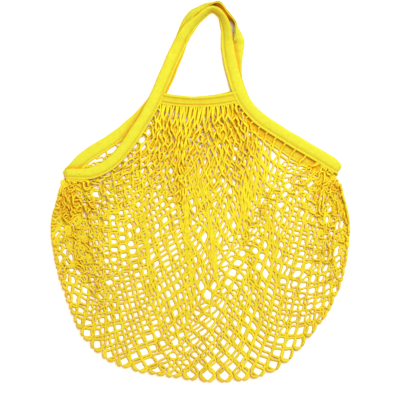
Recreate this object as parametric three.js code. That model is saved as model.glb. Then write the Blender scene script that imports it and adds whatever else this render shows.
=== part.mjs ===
// An empty cotton net shopping bag, laid flat on its back wall with the front wall up.
// One knitted net is folded at the bottom into a front and a back wall. One loop of binding
// tape edges both armholes and rises into the two handles, and a short band gathers the net
// on each side of the mouth. Millimetres, +X to the right, +Y towards the handles, +Z up.

import * as THREE from 'three';
import { LoftGeometry } from 'three/addons/geometries/LoftGeometry.js';

// Pouch outline
const BODY_HALF_WIDTH = 192.5;
const WIDEST_Y = -50;
const BODY_DROP = 193.5;
const BOTTOM_POWER = 2.4;
const SHOULDER_RISE = 54;
const SHOULDER_INSET = 12;

// Net walls
const NET_WALL = 3;
const POUCH_GAP = 5;
const MESHES_ARMHOLE = 9;
const MESHES_BAND = 16;
const HALF_ROWS = 27;
const KNOT_RELIEF = 0.6;
const FULL_RELIEF_LENGTH = 120;

// Binding tape and mouth bands
const TAPE_WIDTH = 17;
const TAPE_THICK = 2.2;
const TAPE_CHAMFER = 0.6;
const BAND_SAG = 5;
const CLEARANCE = 0.4;

// Heights of the pieces above the surface that the bag lies on
const FRONT_LIFT = NET_WALL + POUCH_GAP;
const LEG_LIFT = TAPE_THICK + CLEARANCE;
const EASE_LIFT = (FRONT_LIFT + LEG_LIFT) / 2;
const EDGE_LIFT = 0.3;
const TURN_LIFT = 3.4;

// Routes of the tape's middle line from the left tip to the right tip of the mouth:
// x, y, the tilt in degrees that raises the outer edge, and the lift of the lowest edge.
const FRONT_ROUTE = [
  [-171, 21, 0, FRONT_LIFT],
  [-138.7, 21.9, 0, FRONT_LIFT],
  [-110, 38, 0, FRONT_LIFT],
  [-74.2, 86.4, 0, FRONT_LIFT],
  [-58, 114.8, 0, FRONT_LIFT],
  [-46.2, 141.9, 0, EASE_LIFT],
  [-29.3, 180.6, 0, LEG_LIFT],
  [-16, 204.5, 32, TURN_LIFT],
  [-2, 221.5, 60, EDGE_LIFT],
  [16, 232.8, 77, EDGE_LIFT],
  [27.1, 227, 70, EDGE_LIFT],
  [34.2, 209, 35, EDGE_LIFT],
  [36.8, 180.6, 0, LEG_LIFT],
  [44.9, 144.5, 0, EASE_LIFT],
  [56.1, 116.1, 0, FRONT_LIFT],
  [75.5, 95.5, 0, FRONT_LIFT],
  [103.6, 76.6, 0, FRONT_LIFT],
  [169.6, 34.8, 0, FRONT_LIFT],
  [177, 29, 0, FRONT_LIFT],
];
const BACK_ROUTE = [
  [-171, 21.4, 0, 0],
  [-160, 27, 0, 0],
  [-144.7, 41, 0, 0],
  [-96, 75, 0, 0],
  [-58.5, 114.8, 0, 0],
  [-46.5, 141.9, 0, 0],
  [-29.8, 178, 0, 0],
  [-18.5, 202.5, 33, 0],
  [-2, 230.5, 62, 0],
  [19.5, 240.8, 78, 0],
  [34.5, 228, 72, 0],
  [43.8, 210.5, 55, 0],
  [46.4, 180.6, 0, 0],
  [46.8, 150, 0, 0],
  [57, 115, 0, 0],
  [75.5, 94, 0, 0],
  [102.3, 73.3, 0, 0],
  [160, 34.4, 0, 0],
  [177, 28.2, 0, 0],
];

// Places of the tilt and the lift in a route's point
const TILT = 2;
const LIFT = 3;

// The route's points where a mouth band meets the tape, by their place in the lists above
const FRONT_BAND_ENDS = [4, 14];
const BACK_BAND_ENDS = [4, 14];
const BAND_SPAN = 0.5;

// How finely curves are divided
const STEPS_PER_ROUTE_POINT = 3;
const TIP_STEPS = 5;
const FOLD_STEPS = 4;
const INNER_FOLD_STEPS = 2;
const PLAIN_ROWS = 3;
const BAND_EDGE_STEPS = 4;
const OUTLINE_STEPS = 48;
const SHOULDER_STEPS = 12;

const CORD_YELLOW = 0xefd83e;
const CORD_ROUGHNESS = 0.9;
const TAPE_YELLOW = 0xf2e33f;
const TAPE_ROUGHNESS = 0.85;

const UP = new THREE.Vector3(0, 0, 1);
const SLOPE_STEP = 1e-3;

// Middle line of one run of tape, with its tilt and lift eased between the route's points.
class TapeRun {
  constructor(route) {
    this.route = route;
    this.last = route.length - 1;
    this.plan = new THREE.CatmullRomCurve3(route.map(([x, y]) => new THREE.Vector3(x, y, 0)));
  }

  eased(t, field) {
    const place = Math.min(Math.floor(t * this.last), this.last - 1);
    const share = THREE.MathUtils.smoothstep(t * this.last - place, 0, 1);
    return THREE.MathUtils.lerp(this.route[place][field], this.route[place + 1][field], share);
  }

  tilt(t) {
    return THREE.MathUtils.degToRad(this.eased(t, TILT));
  }

  // Middle of the tape, high enough for its lowest edge to have the route's lift.
  centre(t) {
    const tilt = this.tilt(t);
    const rise = (Math.sin(tilt) * TAPE_WIDTH + Math.cos(tilt) * TAPE_THICK) / 2;
    return this.plan.getPoint(t).setZ(this.eased(t, LIFT) + rise);
  }

  // Unit vector across the tape in plan, towards its free outer edge.
  outward(t) {
    const { x, y } = this.plan.getTangent(t);
    return new THREE.Vector3(-y, x, 0);
  }

  // Centre, heading and tilted cross direction at the place t from 0 to 1.
  station(t) {
    const tilt = this.tilt(t);
    const heading = this.centre(Math.min(t + SLOPE_STEP, 1)).sub(this.centre(Math.max(t - SLOPE_STEP, 0)));
    const across = this.outward(t).multiplyScalar(Math.cos(tilt)).addScaledVector(UP, Math.sin(tilt));
    return { centre: this.centre(t), heading: heading.normalize(), across };
  }

  // Plan point beside the inner edge, where the net or a band begins.
  innerEdge(routePlace) {
    const t = routePlace / this.last;
    const reach = TAPE_WIDTH / 2 + CLEARANCE;
    return this.plan.getPoint(t).addScaledVector(this.outward(t), -reach);
  }
}

const frontRun = new TapeRun(FRONT_ROUTE);
const backRun = new TapeRun(BACK_ROUTE);

// Chamfered rectangle of the tape's section, standing across one station.
function tapeSection({ centre, heading, across }) {
  const side = across.clone().addScaledVector(heading, -across.dot(heading)).normalize();
  const normal = new THREE.Vector3().crossVectors(heading, side);
  const w = TAPE_WIDTH / 2;
  const h = TAPE_THICK / 2;
  const c = TAPE_CHAMFER;
  const upper = [[w, h - c], [w - c, h], [c - w, h], [-w, h - c]];
  const corners = [...upper, ...upper.map(([u, v]) => [-u, -v])];
  return corners.map(([u, v]) => centre.clone().addScaledVector(side, u).addScaledVector(normal, v));
}

// Half turn of the tape round a tip of the mouth, from one wall to the other.
function tipFold(from, to) {
  const bulge = from.heading.clone().sub(to.heading).setZ(0).normalize();
  const middle = from.centre.clone().add(to.centre).multiplyScalar(0.5);
  const arm = from.centre.clone().sub(middle);
  const stations = [];
  for (let i = 1; i < TIP_STEPS; i++) {
    const angle = (Math.PI * i) / TIP_STEPS;
    const centre = middle.clone()
      .addScaledVector(arm, Math.cos(angle))
      .addScaledVector(bulge, arm.length() * Math.sin(angle));
    const heading = arm.clone().multiplyScalar(-Math.sin(angle))
      .addScaledVector(bulge, arm.length() * Math.cos(angle))
      .normalize();
    const across = from.across.clone().lerp(to.across, i / TIP_STEPS);
    stations.push({ centre, heading, across });
  }
  return stations;
}

function runStations(run) {
  const count = run.last * STEPS_PER_ROUTE_POINT;
  return Array.from({ length: count + 1 }, (_, i) => run.station(i / count));
}

// The whole loop: front handle, right tip, back handle and left tip.
function tapeLoop() {
  const front = runStations(frontRun);
  const back = runStations(backRun);
  back.forEach((station) => station.heading.negate());
  back.reverse();
  const stations = [
    ...front,
    ...tipFold(front[front.length - 1], back[0]),
    ...back,
    ...tipFold(back[back.length - 1], front[0]),
  ];
  const sections = stations.map(tapeSection);
  sections.push(sections[0].map((point) => point.clone()));
  return new LoftGeometry(sections);
}

// Lower edge of a mouth band between two points beside the tape, sagging in the middle.
function sagging(from, to, sag) {
  const control = from.clone().add(to).multiplyScalar(0.5);
  control.y -= 2 * sag;
  return new THREE.QuadraticBezierCurve3(from, control, to);
}

// Flat band across the mouth between the two legs of a handle.
function mouthBand(run, [left, right]) {
  const edge = (from, to) => Array.from(
    { length: BAND_EDGE_STEPS + 1 },
    (_, i) => run.innerEdge(THREE.MathUtils.lerp(from, to, i / BAND_EDGE_STEPS)),
  );
  const rightEdge = edge(right, right - BAND_SPAN);
  const leftEdge = edge(left + BAND_SPAN, left);
  const upper = sagging(rightEdge[BAND_EDGE_STEPS], leftEdge[0], BAND_SAG);
  const lower = sagging(leftEdge[BAND_EDGE_STEPS], rightEdge[0], BAND_SAG);
  const outline = [
    ...rightEdge,
    ...upper.getPoints(SHOULDER_STEPS).slice(1, -1),
    ...leftEdge,
    ...lower.getPoints(SHOULDER_STEPS).slice(1, -1),
  ];
  const shape = new THREE.Shape(outline.map(({ x, y }) => new THREE.Vector2(x, y)));
  return new THREE.ExtrudeGeometry(shape, { depth: TAPE_THICK, bevelEnabled: false });
}

// Upper edge of one wall of the net: left armhole, mouth band, right armhole.
function mouthEdge(run, [left, right]) {
  const armhole = (from, to) => {
    const count = Math.abs(to - from) * STEPS_PER_ROUTE_POINT;
    const points = Array.from(
      { length: count + 1 },
      (_, i) => run.innerEdge(THREE.MathUtils.lerp(from, to, i / count)),
    );
    return new THREE.CatmullRomCurve3(points).getSpacedPoints(2 * MESHES_ARMHOLE);
  };
  const below = new THREE.Vector3(0, -CLEARANCE, 0);
  const lower = sagging(run.innerEdge(left).add(below), run.innerEdge(right).add(below), BAND_SAG);
  return [
    ...armhole(0, left).slice(0, -1),
    ...lower.getSpacedPoints(2 * MESHES_BAND),
    ...armhole(right, run.last).slice(1),
  ];
}

// Fold of the net in plan, from the left shoulder round the bottom to the right shoulder.
function foldLine() {
  const points = [];
  const shoulder = (side, share) => new THREE.Vector3(
    side * (BODY_HALF_WIDTH - SHOULDER_INSET * share * share),
    WIDEST_Y + SHOULDER_RISE * share,
    0,
  );
  for (let i = 0; i < SHOULDER_STEPS; i++) points.push(shoulder(-1, 1 - i / SHOULDER_STEPS));
  for (let i = 0; i <= OUTLINE_STEPS; i++) {
    const angle = (Math.PI * i) / OUTLINE_STEPS;
    const round = (value) => Math.sign(value) * Math.abs(value) ** (2 / BOTTOM_POWER);
    points.push(new THREE.Vector3(
      -BODY_HALF_WIDTH * round(Math.cos(angle)),
      WIDEST_Y - BODY_DROP * round(Math.sin(angle)),
      0,
    ));
  }
  for (let i = 1; i <= SHOULDER_STEPS; i++) points.push(shoulder(1, i / SHOULDER_STEPS));
  return new THREE.CatmullRomCurve3(points);
}

// Section of the net on one line from mouth to fold: front wall, fold, back wall, then back inside.
function netSection(front, back, fold, column) {
  const radius = (2 * NET_WALL + POUCH_GAP) / 2;
  const mouth = front.clone().add(back).multiplyScalar(0.5);
  const out = fold.clone().sub(mouth).normalize();
  const axis = fold.clone().addScaledVector(out, -radius);
  const relief = KNOT_RELIEF * Math.min(1, front.distanceTo(fold) / FULL_RELIEF_LENGTH);
  const section = [];
  const row = (from, to, share, z) => section.push(from.clone().lerp(to, share).setZ(z));
  const arc = (r, steps, turn) => {
    for (let i = 1; i < steps; i++) {
      const angle = turn * (Math.PI / 2 - (Math.PI * i) / steps);
      section.push(axis.clone().addScaledVector(out, r * Math.cos(angle)).setZ(radius + r * Math.sin(angle)));
    }
  };
  for (let i = 0; i <= HALF_ROWS; i++) {
    const knot = i === HALF_ROWS ? 0 : relief * ((i + column) % 2 ? -1 : 1);
    row(front, axis, i / HALF_ROWS, 2 * radius + knot);
  }
  arc(radius, FOLD_STEPS, 1);
  for (let i = 0; i <= PLAIN_ROWS; i++) row(axis, back, i / PLAIN_ROWS, 0);
  for (let i = 0; i <= PLAIN_ROWS; i++) row(back, axis, i / PLAIN_ROWS, NET_WALL);
  arc(POUCH_GAP / 2, INNER_FOLD_STEPS, -1);
  for (let i = 0; i <= PLAIN_ROWS; i++) row(axis, front, i / PLAIN_ROWS, NET_WALL + POUCH_GAP);
  return section;
}

// Turns the diagonal of every second cell, so that raised knots join into crossing ridges.
function crossDiagonals(geometry, columns, cells) {
  const index = geometry.index;
  for (let cell = 0; cell < cells; cell++) {
    const row = Math.floor(cell / columns);
    if ((row + (cell % columns)) % 2 === 0) continue;
    const [a, b, d, , c] = [0, 1, 2, 3, 4].map((corner) => index.getX(6 * cell + corner));
    [a, b, c, a, c, d].forEach((vertex, corner) => index.setX(6 * cell + corner, vertex));
  }
  return geometry;
}

function netPouch() {
  const front = mouthEdge(frontRun, FRONT_BAND_ENDS);
  const back = mouthEdge(backRun, BACK_BAND_ENDS);
  const fold = foldLine().getSpacedPoints(front.length - 1);
  const sections = front.map((point, i) => netSection(point, back[i], fold[i], i));
  const geometry = new LoftGeometry(sections, { capStart: true, capEnd: true });
  return crossDiagonals(geometry, sections[0].length, (sections.length - 1) * sections[0].length);
}

function piece(name, geometry, color, roughness) {
  const material = new THREE.MeshStandardMaterial({ color, roughness, metalness: 0 });
  const mesh = new THREE.Mesh(geometry, material);
  mesh.name = name;
  return mesh;
}

const bag = new THREE.Group();

bag.add(piece('net', netPouch(), CORD_YELLOW, CORD_ROUGHNESS));
bag.add(piece('handle_tape', tapeLoop(), TAPE_YELLOW, TAPE_ROUGHNESS));

const frontShape = mouthBand(frontRun, FRONT_BAND_ENDS);
const frontBand = piece('front_mouth_band', frontShape, TAPE_YELLOW, TAPE_ROUGHNESS);
frontBand.position.z = FRONT_LIFT;
bag.add(frontBand);

const backShape = mouthBand(backRun, BACK_BAND_ENDS);
bag.add(piece('back_mouth_band', backShape, TAPE_YELLOW, TAPE_ROUGHNESS));

export default bag;
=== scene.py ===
import math

import bmesh
import bpy
import numpy as np
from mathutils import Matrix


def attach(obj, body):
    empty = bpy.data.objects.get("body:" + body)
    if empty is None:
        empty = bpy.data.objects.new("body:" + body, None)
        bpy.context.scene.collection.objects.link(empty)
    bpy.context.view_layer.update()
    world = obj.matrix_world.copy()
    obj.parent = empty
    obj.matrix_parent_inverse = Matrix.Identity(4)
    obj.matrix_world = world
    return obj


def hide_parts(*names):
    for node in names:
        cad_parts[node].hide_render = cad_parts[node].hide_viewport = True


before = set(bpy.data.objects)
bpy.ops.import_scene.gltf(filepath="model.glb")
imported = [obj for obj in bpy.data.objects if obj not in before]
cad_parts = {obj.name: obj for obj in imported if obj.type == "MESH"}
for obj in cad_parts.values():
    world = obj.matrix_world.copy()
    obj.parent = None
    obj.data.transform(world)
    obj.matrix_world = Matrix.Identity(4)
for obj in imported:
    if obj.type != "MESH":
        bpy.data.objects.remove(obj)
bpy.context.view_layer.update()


# The room: a white paper sweep under a large overhead softbox, with pale walls all round and a
# gold reflector that fill the shadows. The bag lies on the paper with its front up.
PAPER_HALF = 1.5
PAPER_WHITE = "FDFDFD"
WALL_WHITE = "FFE6B6"
WALL_LIGHT = 0.58
SOFTBOX_SIDE = 1.6
SOFTBOX_WATTS = 96.0
SOFTBOX_PLACE = (0.75, 1.1, 2.6)
GOLD_SIDE = 1.2
GOLD_WATTS = 14.0
GOLD_TINT = "FFB648"
GOLD_PLACE = (-1.2, -1.6, 0.5)
CAMERA_HEIGHT = 3.5
VIEW_SIDE = 0.516
VIEW_CENTRE = (0.0006, -0.0129)
SENSOR = 36.0


def linear(code):
    """Linear colour with alpha of an sRGB hex code."""
    parts = [int(code[i:i + 2], 16) / 255 for i in (0, 2, 4)]
    return [p / 12.92 if p <= 0.04045 else ((p + 0.055) / 1.055) ** 2.4 for p in parts] + [1.0]


def add(tree, kind, inputs=None, **settings):
    """A new node with its settings, and its inputs given as values or as sockets to link."""
    node = tree.nodes.new(kind)
    for name, value in settings.items():
        setattr(node, name, value)
    for name, value in (inputs or {}).items():
        if isinstance(value, bpy.types.NodeSocket):
            tree.links.new(value, node.inputs[name])
        else:
            node.inputs[name].default_value = value
    return node


def finish_of(name):
    """A new material without nodes, and its node tree."""
    material = bpy.data.materials.new(name)
    material.use_nodes = True
    material.node_tree.nodes.clear()
    return material, material.node_tree


def show(mesh, material, smooth=True):
    """An object for a finished mesh, at the origin."""
    thing = bpy.data.objects.new(mesh.name, mesh)
    bpy.context.collection.objects.link(thing)
    mesh.materials.append(material)
    mesh.polygons.foreach_set("use_smooth", [smooth] * len(mesh.polygons))
    return thing


paper, tree = finish_of("matte_white_paper")
coat = add(tree, "ShaderNodeBsdfPrincipled", {"Base Color": linear(PAPER_WHITE), "Roughness": 0.9})
add(tree, "ShaderNodeOutputMaterial", {"Surface": coat.outputs["BSDF"]})

bm = bmesh.new()
bmesh.ops.create_grid(bm, x_segments=1, y_segments=1, size=PAPER_HALF)
sweep = bpy.data.meshes.new("paper_floor")
bm.to_mesh(sweep)
bm.free()
show(sweep, paper, smooth=False)

world = bpy.data.worlds.new("white_walls")
world.use_nodes = True
world.node_tree.nodes["Background"].inputs["Color"].default_value = linear(WALL_WHITE)
world.node_tree.nodes["Background"].inputs["Strength"].default_value = WALL_LIGHT
bpy.context.scene.world = world

lamps = (("softbox", SOFTBOX_SIDE, SOFTBOX_WATTS, PAPER_WHITE, SOFTBOX_PLACE),
         ("gold_reflector", GOLD_SIDE, GOLD_WATTS, GOLD_TINT, GOLD_PLACE))
for name, side, watts, tint, place in lamps:
    light = bpy.data.lights.new(name, "AREA")
    light.size = side
    light.energy = watts
    light.color = linear(tint)[:3]
    lamp = bpy.data.objects.new(name, light)
    lamp.location = place
    lamp.rotation_euler = (-lamp.location).to_track_quat("-Z", "Y").to_euler()
    bpy.context.collection.objects.link(lamp)

eye = bpy.data.cameras.new("camera")
eye.sensor_width = SENSOR
eye.lens = SENSOR * CAMERA_HEIGHT / VIEW_SIDE
camera = bpy.data.objects.new("camera", eye)
camera.location = (*VIEW_CENTRE, CAMERA_HEIGHT)
bpy.context.collection.objects.link(camera)
bpy.context.scene.camera = camera
bpy.context.scene.view_settings.view_transform = "Standard"


# The handle tape: one loop of woven cotton tape, folded lengthwise over the raw edge of the
# net and sewn down. It binds both armholes and rises free between them as the two handles.
MM = 0.001
TAPE_WIDTH = 17.0
TAPE_THICK = 2.2
TAPE_LEAF = 0.7
LEAVES_APART = 0.05
FLOOR_CLEAR = 0.05
STATION_STEP = 2.2
TIP_STATIONS = 9
FRONT_LIFT = 4.8
LEG_LIFT = 2.6
EASE_LIFT = 3.7
EDGE_LIFT = 0.3
TURN_LIFT = 3.4

# Middle line from the left tip to the right tip: x, y, tilt and lift. A tilt raises the free edge,
# and a tilt below zero lowers it.
FRONT_ROUTE = [
    (-171, 21, 0, FRONT_LIFT), (-138.7, 21.9, 0, FRONT_LIFT), (-110, 38, 0, FRONT_LIFT),
    (-74.2, 86.4, 0, FRONT_LIFT), (-58, 114.8, 0, FRONT_LIFT), (-46.2, 141.9, 0, EASE_LIFT),
    (-29.3, 180.6, 0, LEG_LIFT), (-16, 204.5, 26, TURN_LIFT), (-1.2, 220.6, 58, EDGE_LIFT),
    (16, 232.8, 66, EDGE_LIFT), (27.1, 227, 62, EDGE_LIFT), (34.2, 209, 42, EDGE_LIFT),
    (36.8, 180.6, 18, LEG_LIFT), (44.9, 144.5, 0, EASE_LIFT), (56.1, 116.1, 0, FRONT_LIFT),
    (74.6, 94.2, 0, FRONT_LIFT), (102.4, 74.8, 0, FRONT_LIFT), (169.6, 34.4, 0, FRONT_LIFT),
    (177, 29, 0, FRONT_LIFT),
]
BACK_ROUTE = [
    (-171, 21.8, 0, 0), (-162, 28.5, 0, 0), (-146.5, 42.5, 0, 0), (-97, 76, 0, 0),
    (-58.5, 114.8, 0, 0), (-43.9, 140.2, 0, 0), (-31, 171.2, 0, 0), (-20.5, 201.5, -18, 0),
    (-11.8, 224.6, -57, 0), (3.6, 235.4, -68, 0), (15, 240.3, -84, 0), (24.4, 238.6, -116, 0),
    (33.4, 226.4, -121, 0), (45.0, 216.4, -97, 0), (48.7, 205, -72, 0), (49.9, 197, -50, 0),
    (49.5, 188, -12, 0), (48, 176, 0, 0), (46.2, 148, 0, 0), (57, 115, 0, 0), (71.5, 87.5, 0, 0),
    (98, 64.5, 0, 0), (151, 31.5, 0, 0), (176, 26.4, 0, 0),
]

# The route points where the bands meet the tape, counted from the start and from the end, and the
# ways in which the tips of the mouth point.
LEFT_END = 4
RIGHT_END = 5
LEFT_WAY = (-1.0, -0.1, 0.0)
RIGHT_WAY = (0.79, -0.61, 0.0)

# Half section of the folded tape from its open edge on the net to the fold at its free edge:
# place across, and half the height. The seam pinches it, and the net's ends swell the open edge.
TAPE_SECTION = [
    (-8.5, 0.8), (-8.1, 1.3), (-7.2, 1.5), (-6.2, 1.25), (-5.4, 0.65), (-4.7, 0.42), (-4.0, 0.65),
    (-2.5, 0.95), (0.0, 1.0), (3.0, 1.1), (5.6, 1.3), (7.2, 1.15), (8.1, 0.7), (8.5, 0.0),
]
SEAM_ACROSS = -4.7
SEAM_HALF = 0.42

# On the front the upper leaf stands proud of the seam in a soft roll: place across, and rise.
ROLL = [
    (-8.5, 0.0), (-5.4, 0.1), (-4.7, 0.0), (-3.4, 0.5), (-1.0, 0.95), (2.5, 1.15), (5.6, 0.8),
    (8.5, 0.0),
]

# Soft cloth is a little uneven in width and in swell: the share of each, and the mean length of its
# waves, each of which is made of four waves that stand in these ratios.
WIDTH_WAVER = 0.03
WIDTH_PERIOD = 45
SWELL_WAVER = 0.14
SWELL_PERIOD = 19
WAVE_RATIOS = (0.6, 0.83, 1.0, 1.37)
WAVE_SUM = 2.6
TAPE_SEED = 3
ROUTE_PARTS = 40
WELD = 1e-7
TINY = 1e-9


def unit(vectors):
    """The same directions with length 1."""
    return vectors / np.maximum(np.linalg.norm(vectors, axis=-1, keepdims=True), TINY)


def through(points, places):
    """Smooth curve through points, read at places counted in points (centripetal spline)."""
    points = np.asarray(points, float)
    ends = np.vstack([2 * points[0] - points[1], points, 2 * points[-1] - points[-2]])
    first = np.clip(np.floor(places).astype(int), 0, len(points) - 2)
    s = (places - first)[:, None]
    p0, p1, p2, p3 = (ends[first + i] for i in range(4))
    pairs = ((p0, p1), (p1, p2), (p2, p3))
    d0, d1, d2 = (np.sqrt(np.linalg.norm(b - a, axis=1))[:, None] for a, b in pairs)
    t1 = ((p1 - p0) / d0 - (p2 - p0) / (d0 + d1) + (p2 - p1) / d1) * d1
    t2 = ((p2 - p1) / d1 - (p3 - p1) / (d1 + d2) + (p3 - p2) / d2) * d1
    blend = 3 * s ** 2 - 2 * s ** 3
    return p1 + (p2 - p1) * blend + t1 * (s ** 3 - 2 * s ** 2 + s) + t2 * (s ** 3 - s ** 2)


def run_of(line):
    """Distance gone along a line at each of its points."""
    return np.concatenate([[0], np.cumsum(np.linalg.norm(np.diff(line, axis=0), axis=1))])


def evenly(line, count):
    """Count points at equal distances along a line of points, and their places in it."""
    run = run_of(line)
    wanted = np.linspace(0, run[-1], count)
    places = np.interp(wanted, run, np.arange(len(line)))
    return np.stack([np.interp(wanted, run, line[:, i]) for i in range(line.shape[1])], 1), places


def tape_run(route, places):
    """Centre and cross direction of the tape at the given places of its route."""
    route = np.asarray(route, float)
    plan = through(route[:, :2], places)
    first = np.clip(np.floor(places).astype(int), 0, len(route) - 2)
    s = places - first
    ease = (3 * s ** 2 - 2 * s ** 3)[:, None]
    tilt, lift = (route[first, 2:] * (1 - ease) + route[first + 1, 2:] * ease).T
    tilt = np.radians(tilt)
    rise = (np.abs(np.sin(tilt)) * TAPE_WIDTH + np.abs(np.cos(tilt)) * TAPE_THICK) / 2
    centre = np.column_stack([plan, lift + rise])
    step = 1e-3
    tangent = unit(through(route[:, :2], places + step) - through(route[:, :2], places - step))
    level = np.cos(tilt)
    across = np.column_stack([-tangent[:, 1] * level, tangent[:, 0] * level, np.sin(tilt)])
    return centre, across


def stations(route, step):
    """Evenly spaced centres and cross directions along one whole run of tape."""
    fine = np.linspace(0, len(route) - 1, ROUTE_PARTS * len(route))
    line, _ = tape_run(route, fine)
    length = np.linalg.norm(np.diff(line, axis=0), axis=1).sum()
    _, places = evenly(line, int(length / step))
    return tape_run(route, np.interp(places, np.arange(len(fine)), fine))


def tip_turn(centre_a, across_a, centre_b, across_b, bulge):
    """Half turn of the tape round a tip of the mouth, from one wall to the other."""
    angle = np.linspace(0, math.pi, TIP_STATIONS + 2)[1:-1, None]
    middle = (centre_a + centre_b) / 2
    arm = centre_a - middle
    centre = middle + arm * np.cos(angle) + bulge * np.linalg.norm(arm) * np.sin(angle)
    return centre, across_a + (across_b - across_a) * angle / math.pi


def waver(places, period, seed):
    """Smooth irregular waves between about -1 and 1, with the given mean period."""
    draw = np.random.default_rng(seed)
    total = 0
    for ratio in WAVE_RATIOS:
        start = draw.uniform(0, 2 * math.pi)
        total = total + np.sin(places * 2 * math.pi / (period * ratio) + start)
    return total / WAVE_SUM


def section_ring(section, under=1.0):
    """Closed ring of a folded tape: outside of both leaves, then inside of both."""
    outer = np.array(section)
    lower = outer[-2::-1] * (1, -under)
    inside = outer[outer[:, 0] < outer[-1, 0] - TAPE_LEAF]
    inside = np.column_stack([inside[:, 0], np.maximum(inside[:, 1] - TAPE_LEAF, LEAVES_APART)])
    return np.vstack([outer, lower, inside * (1, -under), inside[::-1]])


def folded_cloth(name, rings, along, closed):
    """Mesh of a folded cloth whose rings of points follow each other, with a UV map in metres."""
    rows, around = rings.shape[:2]
    long = rows if closed else rows - 1
    bm = bmesh.new()
    bmesh.ops.create_grid(bm, x_segments=long, y_segments=around, size=1)
    sides = np.linalg.norm(np.diff(rings[0], axis=0, append=rings[:1, 0]), axis=1)
    girth = np.concatenate([[0], np.cumsum(sides)])
    cloth = bm.loops.layers.uv.new("cloth")
    place = {v: (round((v.co.x + 1) / 2 * long), round((v.co.y + 1) / 2 * around)) for v in bm.verts}
    for face in bm.faces:
        for loop in face.loops:
            i, j = place[loop.vert]
            loop[cloth].uv = (i * along * MM, girth[j] * MM)
    for v, (i, j) in place.items():
        v.co = rings[i % rows, j % around] * MM
    bmesh.ops.remove_doubles(bm, verts=bm.verts, dist=WELD)
    bmesh.ops.holes_fill(bm, edges=[e for e in bm.edges if e.is_boundary], sides=0)
    bmesh.ops.recalc_face_normals(bm, faces=bm.faces)
    mesh = bpy.data.meshes.new(name)
    bm.to_mesh(mesh)
    bm.free()
    return mesh


# Woven cotton tape, dyed lemon yellow: matte, with a fine diagonal rib and a little fuzz.
# The rib is drawn at twice its real spacing, so that it shows. Painted shade by the share of open sky
# over each point: the seam groove gets a painted golden shade, and the pockets between the tapes a
# painted orange shade as bright as light bounced into them.
TAPE_YELLOW = "D3DA3E"
TAPE_SHADE = "C0C02E"
TAPE_PAINTED_GROOVE_SHADE = "B8920E"
TAPE_PAINTED_POCKET_SHADE = "FFAE10"
GROOVE_PAINTED_SHADE_SKY = (0.6, 0.97)
POCKET_PAINTED_SHADE_SKY = (0.3, 0.75)
TAPE_PAINTED_SHADE_REACH = 9.0
RIB_SPACING = 0.9
RIB_DEPTH = 0.4
SLUB_SIZE = 4.0

# A wave texture of scale 1 goes from a ridge to the next hollow in this many metres.
HALF_WAVE = 0.31

tape_cloth, tree = finish_of("woven_cotton_tape")
spot = add(tree, "ShaderNodeTexCoord")
rib = add(tree, "ShaderNodeTexWave", {
    "Vector": spot.outputs["UV"], "Scale": HALF_WAVE / (RIB_SPACING * MM), "Distortion": 2.5,
    "Detail": 2.0, "Detail Scale": 2.0,
}, bands_direction="DIAGONAL")
slub = add(tree, "ShaderNodeTexNoise", {
    "Vector": spot.outputs["Object"], "Scale": 1 / (SLUB_SIZE * MM), "Detail": 4.0, "Roughness": 0.6,
})
tone = add(tree, "ShaderNodeMix", {
    0: slub.outputs["Fac"], 6: linear(TAPE_SHADE), 7: linear(TAPE_YELLOW),
}, data_type="RGBA")
# Painted shade: the less open sky a point sees, the more it turns from the tape's yellow to gold, then
# to orange.
open_sky_for_painted_shade = add(tree, "ShaderNodeAmbientOcclusion", {"Distance": TAPE_PAINTED_SHADE_REACH * MM}, samples=6)
for (least, most), code in ((GROOVE_PAINTED_SHADE_SKY, TAPE_PAINTED_GROOVE_SHADE), (POCKET_PAINTED_SHADE_SKY, TAPE_PAINTED_POCKET_SHADE)):
    depth = add(tree, "ShaderNodeMapRange", {0: open_sky_for_painted_shade.outputs["AO"], 1: least, 2: most})
    tone = add(tree, "ShaderNodeMix", {
        0: depth.outputs[0], 6: linear(code), 7: tone.outputs[2],
    }, data_type="RGBA")
weave = add(tree, "ShaderNodeBump", {
    "Height": rib.outputs["Fac"], "Strength": 0.35, "Distance": RIB_DEPTH * MM,
})
coat = add(tree, "ShaderNodeBsdfPrincipled", {
    "Base Color": tone.outputs[2], "Roughness": 0.85, "Specular IOR Level": 0.1,
    "Normal": weave.outputs["Normal"],
})
add(tree, "ShaderNodeOutputMaterial", {"Surface": coat.outputs["BSDF"]})

front_line, front_cross = stations(FRONT_ROUTE, STATION_STEP)
back_line, back_cross = stations(BACK_ROUTE, STATION_STEP)
right_tip = tip_turn(front_line[-1], front_cross[-1], back_line[-1], back_cross[-1],
                     unit(np.array(RIGHT_WAY)))
left_tip = tip_turn(back_line[0], back_cross[0], front_line[0], front_cross[0],
                    unit(np.array(LEFT_WAY)))
loop_line = np.vstack([front_line, right_tip[0], back_line[::-1], left_tip[0]])
loop_cross = np.vstack([front_cross, right_tip[1], back_cross[::-1], left_tip[1]])


def axes_along(line, cross, closed):
    """Unit directions along the tape, across it and out of its face, at every station."""
    if closed:
        heading = np.roll(line, -1, axis=0) - np.roll(line, 1, axis=0)
    else:
        heading = np.gradient(line, axis=0)
    heading = unit(heading)
    side = unit(cross - heading * (cross * heading).sum(1, keepdims=True))
    return heading, side, np.cross(heading, side)


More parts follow.
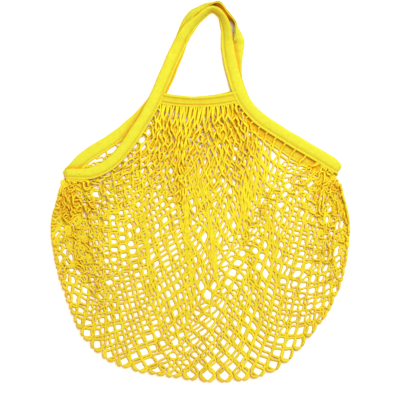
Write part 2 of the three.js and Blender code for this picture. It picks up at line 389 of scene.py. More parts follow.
def sweep_section(line, cross, ring, closed, seed, net_half=1.0, free_half=1.0):
    """Rings of a section set across a line, with the slight unevenness of soft cloth."""
    _, side, normal = axes_along(line, cross, closed)
    gone = run_of(line)
    wide = np.where(ring[None, :, 0] < 0, np.broadcast_to(net_half, gone.shape)[:, None],
                    np.broadcast_to(free_half, gone.shape)[:, None])
    wide = wide * (1 + WIDTH_WAVER * waver(gone, WIDTH_PERIOD, seed)[:, None])
    swell = 1 + SWELL_WAVER * waver(gone, SWELL_PERIOD, seed + 1)[:, None]
    return (line[:, None] + side[:, None] * (ring[None, :, 0] * wide)[..., None]
            + normal[:, None] * (ring[None, :, 1] * swell)[..., None])


# The tape draws in round the tips, and on the front it is pulled narrow by the left one.
NOSE_LENGTH = 13.0
NOSE_FREE = 0.35
NOSE_NET = 0.75
PULLED = 0.2
PULLED_LENGTH = 52.0

gone = run_of(loop_line)
whole = gone[-1] + np.linalg.norm(loop_line[0] - loop_line[-1])
right_nose = gone[len(front_line) + TIP_STATIONS // 2]
left_nose = gone[-1 - TIP_STATIONS // 2]
from_left = np.minimum(np.abs(gone - left_nose), whole - np.abs(gone - left_nose))
to_nose = np.minimum(from_left, np.abs(gone - right_nose))
rounding = np.sqrt(1 - (1 - np.minimum(1, to_nose / NOSE_LENGTH)) ** 2)
pull_length = np.where(gone < right_nose, PULLED_LENGTH, NOSE_LENGTH)
pulled = 1 - PULLED * np.exp(-(from_left / pull_length) ** 2)
net_half = pulled * (NOSE_NET + (1 - NOSE_NET) * rounding)
free_half = pulled * (NOSE_FREE + (1 - NOSE_FREE) * rounding)

ring = section_ring(TAPE_SECTION)
outside = np.arange(len(ring)) < len(TAPE_SECTION)
rolled = ring + np.column_stack([np.zeros(len(ring)), outside * np.interp(ring[:, 0], *zip(*ROLL))])
tape_rings = sweep_section(loop_line, loop_cross, ring, True, TAPE_SEED, net_half, free_half)
proud = sweep_section(loop_line, loop_cross, rolled, True, TAPE_SEED, net_half, free_half)
tape_rings = np.where((gone < right_nose)[:, None, None], proud, tape_rings)
tape_rings[..., 2] = np.maximum(tape_rings[..., 2], FLOOR_CLEAR)
handle_tape = show(folded_cloth("handle_tape_folded", tape_rings, STATION_STEP, True), tape_cloth)
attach(handle_tape, "root")
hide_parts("handle_tape")


# The two mouth bands: a strip of the same tape folded over the gathered net between the legs
# of each handle, its ends caught under the handle tape and its lower edge sewn through.
BAND_SAG = 5.0
BAND_TUCK = 0.055
TUCK_FLAT = 0.75
TUCK_PACE = 3
BAND_RISE = 0.5
BAND_STATIONS = 56
BAND_SECTION = [
    (-1.0, 0.7), (-0.95, 1.4), (-0.82, 1.75), (-0.7, 1.35), (-0.6, 0.7), (-0.52, 0.42), (-0.42, 1.3),
    (-0.28, 2.2), (-0.14, 1.7), (0.0, 0.6), (0.2, 0.4), (0.38, 0.8), (0.52, 2.0), (0.68, 3.0),
    (0.84, 2.7), (0.95, 1.5), (1.0, 0.0),
]
BAND_UNDER = 0.45
BAND_SEAM = -0.52


def inner_edge(route, place, reach=TAPE_WIDTH / 2):
    """Point beside the net-side edge of the tape at a place of its route."""
    centre, across = tape_run(route, np.array([float(place)]))
    return (centre - across * reach)[0]


def sagging(start, end, share):
    """Shallow sagging curve between two points, read at shares of its length."""
    share = share[:, None]
    drop = np.array([0, -BAND_SAG, 0]) * 4 * share * (1 - share)
    return start + (end - start) * share + drop


def band_edges(route, share):
    """Lower and upper edge of a mouth band."""
    right = len(route) - RIGHT_END
    lower = sagging(inner_edge(route, LEFT_END), inner_edge(route, right), share)
    upper = sagging(inner_edge(route, LEFT_END + BAND_RISE), inner_edge(route, right - BAND_RISE), share)
    return lower, upper


def mouth_band(name, route, height, seed):
    """A folded band across the mouth, flat where its ends are tucked under the tape."""
    share = np.linspace(-BAND_TUCK, 1 + BAND_TUCK, BAND_STATIONS)
    lower, upper = band_edges(route, share)
    lower[:, 2] = upper[:, 2] = height + TAPE_THICK / 2
    half = np.linalg.norm(upper - lower, axis=1)[:, None, None] / 2
    ring = section_ring(BAND_SECTION, BAND_UNDER)
    rings = sweep_section((lower + upper) / 2, upper - lower, ring, False, seed)
    middle = ((lower + upper) / 2)[:, None]
    rings[..., :2] = middle[..., :2] + (rings - middle)[..., :2] * half
    tucked = np.clip(np.abs(share - 0.5) - 0.5, 0, BAND_TUCK) / BAND_TUCK
    flatter = (1 - TUCK_FLAT * np.minimum(1, TUCK_PACE * tucked))[:, None]
    rings[..., 2] = middle[..., 2] + (rings - middle)[..., 2] * flatter
    rings[..., 2] = np.maximum(rings[..., 2], FLOOR_CLEAR)
    length = np.linalg.norm(np.diff(middle[:, 0], axis=0), axis=1).sum()
    band = show(folded_cloth(name, rings, length / (BAND_STATIONS - 1), False), tape_cloth)
    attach(band, "root")
    return band


front_band = mouth_band("front_band_folded", FRONT_ROUTE, FRONT_LIFT, seed=11)
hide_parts("front_mouth_band")
back_band = mouth_band("back_band_folded", BACK_ROUTE, 0.0, seed=13)
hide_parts("back_mouth_band")


# The seams: single stitches of yellow cotton thread that pull the tape and the bands into
# a groove along the edge of the net, on both faces.
STITCH_SPACING = 3.6
STITCH_LENGTH = 1.9
STITCH_RADIUS = 0.42
SEAM_INSET = 0.03
THREAD_YELLOW = "C8A018"

thread, tree = finish_of("cotton_sewing_thread")
coat = add(tree, "ShaderNodeBsdfPrincipled", {"Base Color": linear(THREAD_YELLOW), "Roughness": 0.7})
add(tree, "ShaderNodeOutputMaterial", {"Surface": coat.outputs["BSDF"]})


def seam_places(line, normal):
    """Frames of stitches at equal distances along a line, on the upper and the lower face."""
    both, _ = evenly(np.hstack([line, normal]), int(run_of(line)[-1] / STITCH_SPACING))
    spots, up = both[:, :3], unit(both[:, 3:])
    along = unit(np.gradient(spots, axis=0))
    frames = []
    for face in (1, -1):
        out = face * up
        beside = np.cross(out, along)
        frames.append(np.stack([along * STITCH_LENGTH / 2, beside * STITCH_RADIUS, out * STITCH_RADIUS,
                                spots + out * SEAM_HALF], 1))
    return np.concatenate(frames)


places = []
for route in (FRONT_ROUTE, BACK_ROUTE):
    line, cross = stations(route, STATION_STEP)
    _, side, normal = axes_along(line, cross, False)
    places.append(seam_places(line + side * SEAM_ACROSS, normal))
for route, height in ((FRONT_ROUTE, FRONT_LIFT), (BACK_ROUTE, 0.0)):
    lower, upper = band_edges(route, np.linspace(SEAM_INSET, 1 - SEAM_INSET, BAND_STATIONS))
    line = (lower + upper) / 2 + (upper - lower) / 2 * BAND_SEAM
    line[:, 2] = height + TAPE_THICK / 2
    _, _, normal = axes_along(line, upper - lower, False)
    places.append(seam_places(line, normal))
places = np.concatenate(places)

bm = bmesh.new()
bmesh.ops.create_uvsphere(bm, u_segments=6, v_segments=4, radius=1)
round_stitch = np.array([v.co[:] for v in bm.verts])
stitch_faces = [[v.index for v in face.verts] for face in bm.faces]
bm.free()
sewn = bpy.data.meshes.new("seam_stitches")
corners = np.einsum("vi,nij->nvj", round_stitch, places[:, :3]) + places[:, 3:]
size = len(round_stitch)
faces = [[n * size + v for v in face] for n in range(len(places)) for face in stitch_faces]
sewn.from_pydata((corners.reshape(-1, 3) * MM).tolist(), [], faces)
stitches = show(sewn, thread)
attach(stitches, "root")


# The net: 87 lengths of knitted cotton cord that run down the front wall, round the bottom fold
# and up the back wall, each joined to its left and right neighbour in turn. Their ends are sewn
# into the tape and the bands, and the empty net lies slack on the paper.
CORDS = 87
ROWS = 68
FOLD_ROW = 34
LEG = 15.0
STEPS = 5
BEAD = LEG / STEPS
CORD_RADIUS = 1.25
TAUT_RADIUS = 1.5
SLACK_RADIUS = 1.7
BUNCH_RADIUS = 1.05
JOINED = 1.6

# Where the cords start below the bands and the armholes, and how they crowd towards the tips.
BAND_CORDS = 17
START_WAVER = 0.3
START_PERIOD = 5
START_SEED = 105
START_OUT = 3.0
SEWN_IN = 3.0
SEWN_BEADS = 2
ARMHOLE_CORDS = {-1: 10, 1: 12}
TIP_PACE = 1.12
TIP_SHARE = 0.84
CROWD = {-1: 1.3, 1: 1.6}
EDGE_FINE = 200
EDGE_PARTS = 1000

# How the even layout is drawn to the fold and the edges, and how its slack lies in small pleats, in
# lengthwise folds, in a waist and in a slow drift.
HEM_PULL = 2.2
EDGE_PULL = 1.8
PLEAT = 22.0
PLEAT_DEPTH = 1.4
PLEAT_LEANS = ((1.0, 0.3), (-0.2, 0.7))
PLEAT_SLANT = 90
DRIFTS = ((0.35, 130), (-0.6, 110))
FOLD_GAIN = 1.6
WAIST_RISE = 5
WAIST_END = 1.9
WAIST_FALL = 2.2
LOOSE_RISE = 2.2
OPEN_SPAN = 1.7
SPARE_EASE = (3, 5)
FULL_REACH = 0.98
REACH_STIFF = 0.9
EVEN_TURNS = 500
REACH_TURNS = 60
LEAST_GAP = 1e-6

# How a limp cord lies and settles: how far its points are set off at random, how straight it stays
# over two and four beads, how hard cords press on each other, and how firmly they keep their place.
SETTLE_TURNS = 260
SLACK_MOST = 1.6
SIDES_END = -110.0
LOOP_BULGE = 1.6
PUFF = 1.0
WEIGHT = 0.03
NET_SEED = 8
JITTER_LEAST = 0.2
JITTER_SPARE = 1.3
JITTER_RISE = 6
HEIGHT_JITTER = 0.5
BEAD_JITTER = 0.2
FOLD_RISE = 0.6
BOW = 0.2
BOW_SHARES = (1, 1, 0.4)
LEAST_WEIGHT = 0.05
FULL_WEIGHT_AT = 0.5
JOINT_BEND = 1.35
CORD_BEND = 1.88
WIDE_BEND = 3.1
BEND_STIFF = 0.4
WIDE_STIFF = 0.08
JOINT_STIFF = 0.9
BESIDE_JOINT = 2.2
BESIDE_STIFF = 0.4
HEM_HOLD = 0.12
HOLD = 0.012
NEAR = 1.5
NEAR_TURNS = 8
GROWN_AT = 0.6
PRESS = 0.3
PRESS_LEAST = 0.05
SHOVE_MOST = 1.0
SIDE_FINE = 100
SMOOTH_TURNS = 3
SMOOTHING = 0.3

# How each slack wall lies: the lengthwise folds where its cords have slid together (place, reach,
# depth), the waist that does not reach the bottom, the patches that have slipped (place, reach, way),
# how far it has drifted, and the paces of its rows below the mouth and above the fold.
LAY = {
    "front": {
        "route": FRONT_ROUTE, "shift": 0.0, "drift": 6.0, "seed": 31, "paces": (15.0, 5.0),
        "folds": [(-20, 28, 12.0), (66, 24, 8.0), (-96, 26, -5.0), (128, 30, -6.0)],
        "waist": (-12, 70, 8.0),
        "slips": [],
    },
    "back": {
        "route": BACK_ROUTE, "shift": 0.85, "drift": 13.0, "seed": 57, "paces": (11.0, 5.0),
        "folds": [(20, 26, 8.0), (-66, 26, 8.0), (92, 28, 6.0), (-140, 26, -5.0)],
        "waist": (0, 70, 6.0),
        "slips": [(-118, -175, 55, 3.0, 8.0), (19, -172, 34, -7.0, 5.0), (95, -172, 38, 8.0, 7.0),
                  (135, -128, 42, 0.0, 9.0), (8, 45, 30, 2.0, 5.0), (-24, -54, 24, -4.0, 4.0)],
    },
}

# Outline of the fold from the left tip of the mouth, down and round to the right tip.
OUTLINE = [
    (-178, 4), (-189.5, -42), (-186, -82), (-178, -116), (-166, -150), (-150, -187), (-124, -214),
    (-88, -230), (-40, -238), (14, -246), (65, -242), (102, -229), (126, -207), (150.5, -177),
    (170, -147), (183.5, -114), (190.5, -76), (192, -40), (182, 4),
]
OUTLINE_FINE = 600
OUTLINE_PARTS = 2000
FOLD_MIDDLE = 7
FOLD_SPACING = {-1: 0.42, 1: 0.52}
SPACING_REACH = 0.62

half_count = CORDS // 2
column = np.arange(CORDS) - half_count
aside = np.abs(column)
side_of = np.sign(column)
armhole_cords = np.where(side_of > 0, ARMHOLE_CORDS[1], ARMHOLE_CORDS[-1])


def start_rows():
    """First row of every cord: later and later along the slanting edge of an armhole."""
    rows = np.where(side_of > 0, aside - BAND_CORDS, aside - BAND_CORDS - 1)
    beyond = np.maximum(0, aside - BAND_CORDS - armhole_cords)
    rows = np.round(rows + beyond * (TIP_PACE - 1)).astype(int)
    return np.where(aside < BAND_CORDS, 0, np.clip(rows, 0, FOLD_ROW - 2))


def top_points(lay, out):
    """Where each cord leaves the tape or the band, out beyond its edge (inside it if negative)."""
    route = lay["route"]
    shift = lay["shift"] + START_WAVER * waver(column, START_PERIOD, START_SEED)
    lower, upper = band_edges(route, (column + shift + BAND_CORDS) / (2 * BAND_CORDS))
    points = lower - unit(upper - lower) * out
    last = len(route) - 1
    for side, first, end in ((-1, LEFT_END, 0.0), (1, last + 1 - RIGHT_END, float(last))):
        centre, across = tape_run(route, np.linspace(first, end, EDGE_FINE))
        edge, _ = evenly(centre - across * (TAPE_WIDTH / 2 + out), EDGE_PARTS + 1)
        members = np.nonzero(column * side >= BAND_CORDS)[0]
        place = aside[members] - BAND_CORDS
        share = TIP_SHARE * np.maximum(0, (place + lay["shift"]) / ARMHOLE_CORDS[side]) ** CROWD[side]
        crowd = (place - ARMHOLE_CORDS[side]) / (half_count - BAND_CORDS - ARMHOLE_CORDS[side])
        share = np.where(crowd > 0, TIP_SHARE + (1 - TIP_SHARE) * crowd, np.minimum(share, TIP_SHARE))
        points[members] = edge[(EDGE_PARTS * share).astype(int)]
    return points


def fold_points():
    """Where each cord crosses the fold, closer together at the sides of the pouch than below."""
    smooth = through(OUTLINE, np.linspace(0, len(OUTLINE) - 1, OUTLINE_FINE))
    outline, _ = evenly(smooth, OUTLINE_PARTS + 1)
    place = (column - FOLD_MIDDLE) / half_count
    spacing = np.where(place < 0, FOLD_SPACING[-1], FOLD_SPACING[1])
    spacing = spacing + (1 - spacing) * np.exp(-(place / SPACING_REACH) ** 4)
    gone = np.concatenate([[0], np.cumsum((spacing[1:] + spacing[:-1]) / 2)])
    points = outline[(OUTLINE_PARTS * gone / gone[-1]).astype(int)]
    left = np.arange(FOLD_ROW % 2, CORDS - 1, 2)
    half = (points[left + 1] - points[left]) / 2
    close = half - unit(half) * JOINED / 2
    points[left] += close
    points[left + 1] -= close
    return points


first_row = start_rows()
fold = fold_points()


def drawn(a, b, free_a, free_b, rest, stiff, push=True, pull=True):
    """Moves two sets of points along the line between them, towards the rest distance."""
    gap = b - a
    far = np.maximum(np.linalg.norm(gap, axis=-1, keepdims=True), LEAST_GAP)
    off = far - rest
    if not push:
        off = np.maximum(off, 0)
    if not pull:
        off = np.minimum(off, 0)
    move = gap * (stiff * off / far / np.maximum(free_a + free_b, LEAST_GAP))
    a += move * free_a
    b -= move * free_b


def neighbours(parity):
    """Where the left and the right cords are that are joined at rows of one parity."""
    rows = slice(parity, None, 2)
    return (slice(parity, CORDS - 1, 2), rows), (slice(parity + 1, CORDS, 2), rows)


def meet(points, free):
    """Brings the neighbours that are joined at a row to the middle between them."""
    for parity in (0, 1):
        left, right = neighbours(parity)
        half = (points[right] - points[left]) / 2 * free[left] * free[right]
        points[left] += half
        points[right] -= half


def even_plan():
    """Plan of every cord at its rows: an even net between tape and fold, then slid and drifted."""
    rows = np.arange(ROWS + 1)
    deep = np.minimum(rows, ROWS - rows)
    share = np.clip((deep[None] - first_row[:, None]) / (FOLD_ROW - first_row)[:, None], 0, 1)
    tops = [top_points(LAY[wall], START_OUT)[:, None, :2] for wall in ("front", "back")]
    start = np.where((rows <= FOLD_ROW)[None, :, None], *tops)
    plan = start + (fold[:, None] - start) * share[..., None]
    free = ((share > 0) & (share < 1)).astype(float)[..., None]
    paces = [LAY[wall]["paces"] for wall in ("front", "back")]
    top, low = np.where((rows[1:] <= FOLD_ROW)[:, None], *paces).T
    pull = 1 / (top + (low - top) * ((deep[1:] + deep[:-1]) / ROWS) ** 2)[None, :, None]
    pull = np.repeat(pull, CORDS, axis=0)
    pull[:, FOLD_ROW - 1:FOLD_ROW + 1] *= HEM_PULL
    edge = np.nonzero(aside > BAND_CORDS)[0]
    pull[edge, first_row[edge]] *= EDGE_PULL
    pull[edge, ROWS - 1 - first_row[edge]] *= EDGE_PULL
    for _ in range(EVEN_TURNS):
        mean = (pull[:, :-1] * plan[:, :-2] + pull[:, 1:] * plan[:, 2:]) / (pull[:, :-1] + pull[:, 1:])
        plan[:, 1:-1] += (mean - plan[:, 1:-1]) * free[:, 1:-1]
        meet(plan, free)
    loose = np.minimum(1, LOOSE_RISE * np.sin(math.pi * share))
    x, y = plan[..., 0].copy(), plan[..., 1].copy()
    span = np.pad(np.linalg.norm(plan[:, 2:] - plan[:, :-2], axis=-1), ((0, 0), (1, 1)), mode="edge")
    spare = np.clip(SPARE_EASE[0] - SPARE_EASE[1] * span / (OPEN_SPAN * LEG), 0, 1)
    wave = 2 * math.pi / PLEAT
    for wall, lay in LAY.items():
        mine = (rows < FOLD_ROW if wall == "front" else rows > FOLD_ROW) * loose
        for place, width, depth in lay["folds"]:
            off = (x - place) / width
            plan[..., 0] -= mine * depth * FOLD_GAIN * off * np.exp(-off ** 2)
        place, width, depth = lay["waist"]
        off = (x - place) / width
        narrow = mine * np.clip(np.minimum(WAIST_RISE * share - 1, WAIST_END - WAIST_FALL * share), 0, 1)
        plan[..., 0] -= narrow * depth * FOLD_GAIN * off * np.exp(-off ** 2)
        for at_x, at_y, reach, by_x, by_y in lay["slips"]:
            inside = mine * np.exp(-((x - at_x) ** 2 + (y - at_y) ** 2) / reach ** 2)
            plan += inside[..., None] * (by_x, by_y)
        slant = waver(y, PLEAT_SLANT, lay["seed"] + 3)
        for axis, (lean, period) in enumerate(DRIFTS):
            plan[..., axis] += mine * lay["drift"] * waver(x + lean * y, period, lay["seed"] + 2 * axis)
        for axis, (lean_x, lean_y) in enumerate(PLEAT_LEANS):
            phase = wave * (lean_x * x + lean_y * y) + 2 * slant
            plan[..., axis] += mine * spare * PLEAT_DEPTH / wave * np.sin(phase)
    for _ in range(REACH_TURNS):
        for first in (0, 1):
            a = slice(first, ROWS, 2)
            b = slice(first + 1, ROWS + 1, 2)
            drawn(plan[:, a], plan[:, b], free[:, a], free[:, b], FULL_REACH * LEG, REACH_STIFF,
                  push=False)
        meet(plan, free)
    return plan, share


def net_layout(draw):
    """Row points of every cord before it settles, drawn together where neighbours are joined."""
    plan, share = even_plan()
    front = (np.arange(ROWS + 1) <= FOLD_ROW)[None]
    step = np.linalg.norm(np.diff(plan, axis=1), axis=-1)
    spare = np.clip(1 - np.pad(step, ((0, 0), (0, 1)), mode="edge") / LEG, 0, 1)
    loose = (1 - share ** 4) * np.minimum(1, JITTER_RISE * share) * (JITTER_LEAST + JITTER_SPARE * spare)
    joint = draw.normal(0, 1, plan.shape) * loose[..., None]
    for parity in (0, 1):
        left, right = neighbours(parity)
        joint[right] = joint[left]
    plan = plan + joint
    above = (1 + FOLD_RISE) * CORD_RADIUS + 2 * CORD_RADIUS * (1 - share ** 6) + PUFF * (1 - share) ** 3
    below = CORD_RADIUS + FOLD_RISE * CORD_RADIUS * share ** 6
    height = np.where(front, above, below) + np.abs(draw.normal(0, HEIGHT_JITTER, share.shape)) * loose
    points = np.concatenate([plan, height[..., None]], -1)
    for parity in (0, 1):
        left, right = neighbours(parity)
        aside_of = unit(fold[1:] - fold[:-1])[parity::2][:, None] * JOINED / 2
        points[left][..., :2] -= aside_of
        points[right][..., :2] += aside_of
    return points


def close_pairs(points, reach):
    """Index pairs of points nearer than reach, found on a grid of cells that wide."""
    cell = np.floor((points - points.min(0)) / reach).astype(np.int64) + 1
    size = cell.max(0) + 2
    key = (cell[:, 0] * size[1] + cell[:, 1]) * size[2] + cell[:, 2]
    order = np.argsort(key, kind="stable")
    ranked = key[order]
    found = []
    steps = [(x, y, z) for x in (-1, 0, 1) for y in (-1, 0, 1) for z in (-1, 0, 1)]
    for x, y, z in steps[len(steps) // 2:]:
        other = key + (x * size[1] + y) * size[2] + z
        low = np.searchsorted(ranked, other, "left")
        count = np.searchsorted(ranked, other, "right") - low
        for i in range(count.max(initial=0)):
            mine = np.nonzero(count > i)[0]
            found.append(np.stack([mine, order[low[mine] + i]]))
    a, b = np.concatenate(found, axis=1)
    near = (a != b) & (((points[a] - points[b]) ** 2).sum(1) < reach ** 2)
    return np.unique(np.sort(np.stack([a[near], b[near]]), axis=0), axis=1)


def touching(pairs, beads):
    """The pairs that can press on each other: not beads of one bend, nor of one joint."""
    cord, bead = np.divmod(pairs, beads)
    row = np.rint(bead[0] / STEPS).astype(int)
    at_joint = (np.abs(bead[0] - row * STEPS) <= 1) & (row % 2 == cord[0] % 2)
    one_joint = (cord[1] - cord[0] == 1) & (np.abs(bead[1] - bead[0]) <= 2) & at_joint
    one_bend = (cord[0] == cord[1]) & (bead[1] - bead[0] <= 3)
    return pairs[:, ~(one_joint | one_bend)]


def settled_net():
    """The cords as beads: laid out, then relaxed under length, joints, contact and weight."""
    draw = np.random.default_rng(NET_SEED)
    rows = net_layout(draw)
    beads = ROWS * STEPS + 1
    place = np.arange(beads) / STEPS
    low = np.minimum(place.astype(int), ROWS - 1)
    part = (place - low)[None, :, None]
    points = rows[:, low] * (1 - part) + rows[:, low + 1] * part
    spare = np.maximum(0, LEG - np.linalg.norm(np.diff(rows, axis=1), axis=-1))
    bow = draw.normal(0, 1, (CORDS, ROWS, 3)) * BOW_SHARES * (BOW * spare)[..., None]
    outward = unit(fold - (rows[:, FOLD_ROW - 2, :2] + rows[:, FOLD_ROW + 2, :2]) / 2)
    bow[:, FOLD_ROW - 1, :2] = bow[:, FOLD_ROW, :2] = LOOP_BULGE * outward
    points += bow[:, low] * np.sin(math.pi * part)
    number = np.arange(beads)[None]
    turned = np.clip((number - FOLD_ROW * STEPS) / STEPS, -1, 1)
    at_hem = np.abs(turned) < 1
    hairpin = 2 * SLACK_RADIUS - SLACK_RADIUS * np.sin(math.pi / 2 * turned)
    points[..., 2] = np.where(at_hem, hairpin, points[..., 2])
    start = np.maximum(first_row[:, None] * STEPS - SEWN_BEADS, 0)
    end = np.minimum((ROWS - first_row[:, None]) * STEPS + SEWN_BEADS, beads - 1)
    alive = (number >= start) & (number <= end)
    free = (alive & (number > start + 1) & (number < end - 1) & ~at_hem).astype(float)[..., None]
    for wall, tip, way in (("front", start[:, 0], 1), ("back", end[:, 0], -1)):
        for step, out in ((0, -SEWN_IN), (1, 0.0)):
            points[np.arange(CORDS), tip + way * step] = top_points(LAY[wall], out)
    home = points.copy()
    points += draw.normal(0, BEAD_JITTER, points.shape) * free
    points[..., 2] = np.maximum(points[..., 2], SLACK_RADIUS)
    gone_down = number / (FULL_WEIGHT_AT * FOLD_ROW * STEPS)
    weight = WEIGHT * np.clip(gone_down, LEAST_WEIGHT, 1)[..., None] ** 2
    first_length = np.linalg.norm(np.diff(points, axis=1), axis=-1, keepdims=True)
    full_length = np.minimum(BEAD, SLACK_MOST * first_length)
    hem = slice((FOLD_ROW - 1) * STEPS, (FOLD_ROW + 1) * STEPS)
    full_length[:, hem] = first_length[:, hem]
    flat = points.reshape(-1, 3)
    flat_free = free.reshape(-1)
    living = np.nonzero(alive.reshape(-1))[0]
    bend = np.where((number % STEPS == 0)[..., None], JOINT_BEND, CORD_BEND) * BEAD
    hold = np.where(np.abs(number - FOLD_ROW * STEPS) <= 1, HEM_HOLD, HOLD)[..., None]
    smooth = through(OUTLINE, np.linspace(0, len(OUTLINE) - 1, 2 * SIDE_FINE))
    left_side = smooth[:SIDE_FINE][::-1].T[::-1]
    right_side = smooth[SIDE_FINE:].T[::-1]
    for turn in range(SETTLE_TURNS):
        if turn % NEAR_TURNS == 0:
            near = touching(living[close_pairs(flat[living], 2 * CORD_RADIUS + NEAR)], beads)
        grown = min(1.0, turn / (GROWN_AT * SETTLE_TURNS))
        rest = first_length + (full_length - first_length) * grown
        points[..., 2:] -= weight * free
        points[..., :2] += hold * (home - points)[..., :2] * free
        gap = flat[near[1]] - flat[near[0]]
        far = np.sqrt((gap ** 2).sum(1))
        hit = far < 2 * CORD_RADIUS
        a, b = near[:, hit]
        push = gap[hit] * (PRESS * (2 * CORD_RADIUS / np.maximum(far[hit], PRESS_LEAST) - 1))[:, None]
        for axis in range(3):
            shove = np.bincount(b, push[:, axis], len(flat)) - np.bincount(a, push[:, axis], len(flat))
            flat[:, axis] += flat_free * np.clip(shove, -SHOVE_MOST, SHOVE_MOST)
        for parity in (0, 1):
            left = slice(parity, CORDS - 1, 2)
            right = slice(parity + 1, CORDS, 2)
            for beside in (0, 1, -1):
                slack = JOINED + BESIDE_JOINT if beside else JOINED
                stiff = BESIDE_STIFF if beside else JOINT_STIFF
                line = slice((parity * STEPS + beside) % (2 * STEPS), None, 2 * STEPS)
                both = free[left, line] * free[right, line]
                drawn(points[left, line], points[right, line], both, both, slack, stiff, push=False)
        for skip, rests, stiff in ((4, WIDE_BEND * BEAD, WIDE_STIFF), (2, bend[:, 1:-1], BEND_STIFF)):
            for first in range(2 * skip):
                reach = 2 * skip * (len(range(first, beads - skip, 2 * skip)) - 1) + 1
                a = slice(first, first + reach, 2 * skip)
                b = slice(first + skip, first + skip + reach, 2 * skip)
                goal = rests[:, a] if skip == 2 else rests
                both = (free[:, a] * free[:, b] > 0) * 1.0
                drawn(points[:, a], points[:, b], both, both, goal, stiff, pull=False)
        for parity in (0, 1, 0, 1):
            count = (beads - parity) // 2
            a = slice(parity, parity + 2 * count, 2)
            b = slice(parity + 1, parity + 2 * count, 2)
            drawn(points[:, a], points[:, b], free[:, a], free[:, b], rest[:, a], stiff=1.0)
        raised = np.maximum(points[..., 2], SLACK_RADIUS)
        points[..., 2] = np.where(free[..., 0] > 0, raised, points[..., 2])
        lower = points[..., 1] < SIDES_END
        least = np.where(lower, -np.inf, np.interp(points[..., 1], *left_side))
        most = np.where(lower, np.inf, np.interp(points[..., 1], *right_side))
        points[..., 0] = np.clip(points[..., 0], least, most)
    for _ in range(SMOOTH_TURNS):
        middle = (points[:, :-2] + points[:, 2:]) / 2
        points[:, 1:-1] += SMOOTHING * (middle - points[:, 1:-1]) * free[:, 1:-1]
    return points, start[:, 0], end[:, 0]


# Knitted cotton cord, dyed yellow: matte and soft, with the slanting ridges of its stitches
# and slight differences in tone from cord to cord. Cords that lie deep between others get a painted
# orange shade, by the share of open sky over them.
CORD_YELLOW = "D8D82E"
CORD_SHADE = "C7B92E"
CORD_PAINTED_DEEP_SHADE = "E6940A"
# Painted light: each cord is lighter towards both ends, to lift the shade where the taut cords crowd at
# the mouth.
TAUT_PAINTED_LIGHT = 0.6
TAUT_EASE = 0.7
TINT_MOST = 0.6
TINT_SEED = 5
CORD_PAINTED_SHADE_SKY = (0.15, 0.75)
CORD_PAINTED_SHADE_REACH = 7.0
RIDGE_SPACING = 3.0
RIDGE_DEPTH = 0.4
BUNCHED = 0.4
BUNCH_EASE = 0.35
SIDES = 8
RING_STEP = 2.0

cord_cotton, tree = finish_of("knitted_cotton_cord")
spot = add(tree, "ShaderNodeTexCoord")
ridge = add(tree, "ShaderNodeTexWave", {
    "Vector": spot.outputs["UV"], "Scale": HALF_WAVE / (RIDGE_SPACING * MM), "Distortion": 1.5,
    "Detail": 1.0, "Detail Scale": 1.5,
}, bands_direction="DIAGONAL")
shade = add(tree, "ShaderNodeAttribute", attribute_name="shade")
tone = add(tree, "ShaderNodeMix", {
    0: shade.outputs["Fac"], 6: linear(CORD_SHADE), 7: linear(CORD_YELLOW),
}, data_type="RGBA")
# Painted shade: the less open sky a cord sees, the more of the orange shade colour it takes.
open_sky_for_painted_shade = add(tree, "ShaderNodeAmbientOcclusion", {"Distance": CORD_PAINTED_SHADE_REACH * MM}, samples=6)
depth = add(tree, "ShaderNodeMapRange", {0: open_sky_for_painted_shade.outputs["AO"], 1: CORD_PAINTED_SHADE_SKY[0], 2: CORD_PAINTED_SHADE_SKY[1]})
tone = add(tree, "ShaderNodeMix", {
    0: depth.outputs[0], 6: linear(CORD_PAINTED_DEEP_SHADE), 7: tone.outputs[2],
}, data_type="RGBA")
knit = add(tree, "ShaderNodeBump", {
    "Height": ridge.outputs["Fac"], "Strength": 0.5, "Distance": RIDGE_DEPTH * MM,
})
coat = add(tree, "ShaderNodeBsdfPrincipled", {
    "Base Color": tone.outputs[2], "Roughness": 0.9, "Specular IOR Level": 0.1,
    "Normal": knit.outputs["Normal"],
})
add(tree, "ShaderNodeOutputMaterial", {"Surface": coat.outputs["BSDF"]})


def cord_radius(line):
    """Radius at every bead of a cord: thin where the front is taut or where the net is bunched."""
    down_front = np.minimum(1, np.linspace(0, 2, len(line)))
    profile = TAUT_RADIUS + (SLACK_RADIUS - TAUT_RADIUS) * np.sin(math.pi / 2 * down_front) ** TAUT_EASE
    ends = np.pad(line, ((STEPS, STEPS), (0, 0)), mode="edge")
    span = np.linalg.norm(ends[2 * STEPS:] - ends[:-2 * STEPS], axis=1) / (2 * LEG)
    to_fold = np.abs(np.arange(len(line)) - len(line) // 2)
    open_here = np.where(to_fold <= 2 * STEPS, 1, np.clip((span - BUNCHED) / BUNCH_EASE, 0, 1))
    even = np.ones(2 * STEPS + 1) / (2 * STEPS + 1)
    open_here = np.convolve(np.pad(open_here, STEPS, mode="edge"), even, "valid")
    return BUNCH_RADIUS + (profile - BUNCH_RADIUS) * open_here


def cord_tube(line):
    """Rings of points round one cord, with the direction across carried along without twist."""
    count = int(len(line) * BEAD / RING_STEP)
    places = np.linspace(0, len(line) - 1, count)
    smooth = through(line, places)
    heading = unit(np.gradient(smooth, axis=0))
    side = np.zeros_like(heading)
    side[0] = unit(np.cross(heading[0], (0, 0, 1)))
    for i in range(1, count):
        carried = side[i - 1] - heading[i] * (side[i - 1] @ heading[i])
        side[i] = carried / np.linalg.norm(carried)
    angle = np.linspace(0, 2 * math.pi, SIDES, endpoint=False)[None, :, None]
    up = np.cross(heading, side)
    thick = np.interp(places, np.arange(len(line)), cord_radius(line))[:, None, None]
    return smooth[:, None] + thick * (np.cos(angle) * side[:, None] + np.sin(angle) * up[:, None])


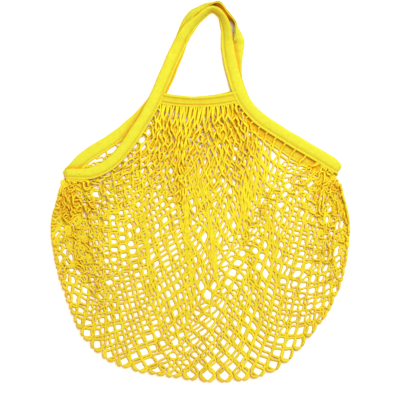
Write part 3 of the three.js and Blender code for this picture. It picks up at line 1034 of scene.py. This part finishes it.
def cords_mesh(name, lines, shades):
    """One mesh of many cords: tubes with closed ends, a UV map in metres and a tone for each, with
    painted light towards its ends.
    """
    verts, quads, uvs, tones, caps = [], [], [], [], []
    offset = 0
    for line, tint in zip(lines, shades):
        rings = cord_tube(line)
        count = len(rings)
        i, j = np.meshgrid(np.arange(count - 1), np.arange(SIDES), indexing="ij")
        corner = [(i, j), (i, j + 1), (i + 1, j + 1), (i + 1, j)]
        quads.append(np.stack([offset + a * SIDES + b % SIDES for a, b in corner], -1).reshape(-1, 4))
        girth = 2 * math.pi * CORD_RADIUS / SIDES
        laid = [np.stack([a * RING_STEP, b * girth], -1) for a, b in corner]
        uvs.append(np.stack(laid, 2).reshape(-1, 2))
        caps.append(list(range(offset, offset + SIDES))[::-1])
        caps.append(list(range(offset + (count - 1) * SIDES, offset + count * SIDES)))
        verts.append(rings.reshape(-1, 3))
        # Painted light: the tone rises towards both ends of the cord.
        taut = 1 - np.sin(math.pi * np.linspace(0, 1, count)) ** TAUT_EASE
        tones.append(np.repeat(np.minimum(1, tint + TAUT_PAINTED_LIGHT * taut), SIDES))
        offset += count * SIDES
    quads = np.concatenate(quads)[:, ::-1]
    uvs = np.concatenate(uvs).reshape(-1, 4, 2)[:, ::-1].reshape(-1, 2)
    mesh = bpy.data.meshes.new(name)
    mesh.from_pydata((np.concatenate(verts) * MM).tolist(), [], quads.tolist() + caps)
    layer = mesh.uv_layers.new(name="cord")
    padded = np.concatenate([uvs * MM, np.zeros((len(mesh.loops) - len(uvs), 2))])
    layer.data.foreach_set("uv", padded.ravel().astype(np.float32))
    tone_with_painted_light = mesh.attributes.new("shade", "FLOAT", "POINT")
    tone_with_painted_light.data.foreach_set("value", np.concatenate(tones).astype(np.float32))
    mesh.update()
    return mesh


beads, begin, stop = settled_net()
tints = np.random.default_rng(TINT_SEED).uniform(0.0, TINT_MOST, CORDS)
names = ("net_cords_far_left", "net_cords_left", "net_cords_right", "net_cords_far_right")
for name, members in zip(names, np.array_split(np.arange(CORDS), len(names))):
    lines = [beads[k, begin[k]:stop[k] + 1] for k in members]
    net = show(cords_mesh(name, lines, tints[members]), cord_cotton)
    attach(net, "root")
    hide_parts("net")
